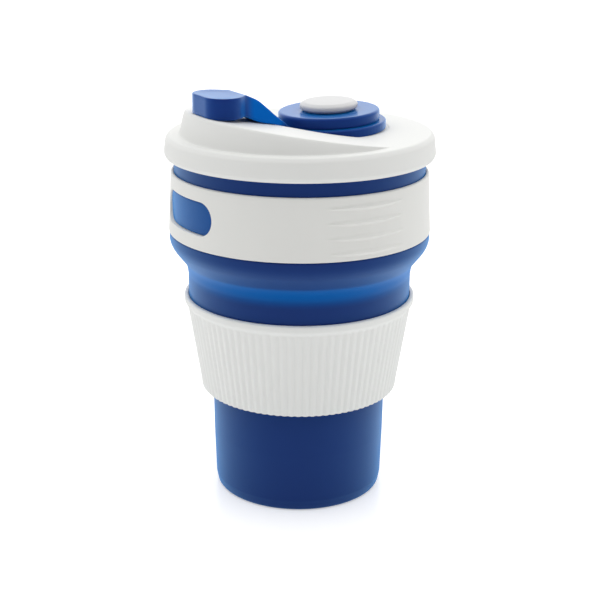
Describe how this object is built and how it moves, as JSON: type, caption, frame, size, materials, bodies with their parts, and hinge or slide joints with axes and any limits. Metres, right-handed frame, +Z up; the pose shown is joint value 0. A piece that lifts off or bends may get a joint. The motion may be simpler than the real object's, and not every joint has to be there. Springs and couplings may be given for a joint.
{
  "type": "collapsible travel cup",
  "caption": "Folding silicone travel cup with hard grip collar, fluted heat sleeve and a press-on drinking lid closed by a strap stopper.",
  "frame": {"origin": "middle of the ring-shaped face that the open cup stands on", "axes": "+Z up along the cup's axis, drinking side and window towards -Y, +X to the drinker's right"},
  "size_m": [0.0908, 0.0908, 0.1401],
  "materials": {
    "silicone_blue": "matte",
    "silicone_thin": "matte, slightly translucent",
    "plastic_white": "satin",
    "sleeve_white": "matte",
    "lid_white": "satin",
    "closure_blue": "satin",
    "knob_white": "satin"
  },
  "bodies": {
    "base": {"base_section": "silicone_blue", "lower_fold": "silicone_thin"},
    "middle": {"middle_section": "silicone_blue", "heat_sleeve": "sleeve_white", "upper_fold": "silicone_thin"},
    "upper": {"upper_section": "silicone_blue", "grip_collar": "plastic_white"},
    "lid": {"lid": "lid_white", "strap_ring": "closure_blue", "pivot_disc": "closure_blue"},
    "stopper": {"strap": "closure_blue", "stopper": "closure_blue"},
    "knob": {"pivot_button": "knob_white", "retaining_ring": "knob_white"}
  },
  "joints": [
    {"name": "lower_collapse", "type": "slide", "parent": "base", "child": "middle", "axis": [0, 0, -1], "range_m": [0, 0.034], "deforming": ["lower_fold"]},
    {"name": "upper_collapse", "type": "slide", "parent": "middle", "child": "upper", "axis": [0, 0, -1], "range_m": [0, 0.024], "deforming": ["upper_fold"]},
    {"name": "lid_lift", "type": "slide", "parent": "upper", "child": "lid", "axis": [0, 0, 1], "range_m": [0, 0.04]},
    {"name": "stopper_flip", "type": "hinge", "parent": "lid", "child": "stopper", "pos_m": [0, -0.0084, 0.1294], "axis": [-1, 0, 0], "range_deg": [0, 110]},
    {"name": "knob_turn", "type": "hinge", "parent": "lid", "child": "knob", "pos_m": [0, 0.01135, 0.12535], "axis": [0, -0.0471, 0.9989], "continuous": true}
  ]
}
